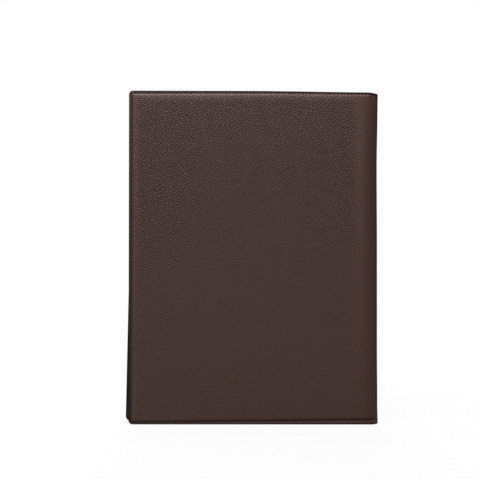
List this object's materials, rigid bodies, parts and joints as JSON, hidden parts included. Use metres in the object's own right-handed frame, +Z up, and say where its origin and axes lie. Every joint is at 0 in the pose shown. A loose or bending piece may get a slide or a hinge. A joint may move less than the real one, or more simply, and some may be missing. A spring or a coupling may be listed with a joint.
{
  "type": "leather document case",
  "caption": "Slim folder case for A4 papers: one padded leather wraps the front, the rounded spine and the back, lined and stitched round its open edges.",
  "frame": {"origin": "on the surface that the case stands on, under the middle of its box", "axes": "+Z up along the height, -Y out of the front cover, +X towards the spine"},
  "size_m": [0.255, 0.024, 0.333],
  "materials": {
    "outer_leather": "pebbled grain, dark brown, satin",
    "lining_leather": "smooth, dark brown, matte"
  },
  "bodies": {
    "root": {"cover_leather": "outer_leather", "lining_leather": "lining_leather"}
  },
  "joints": []
}
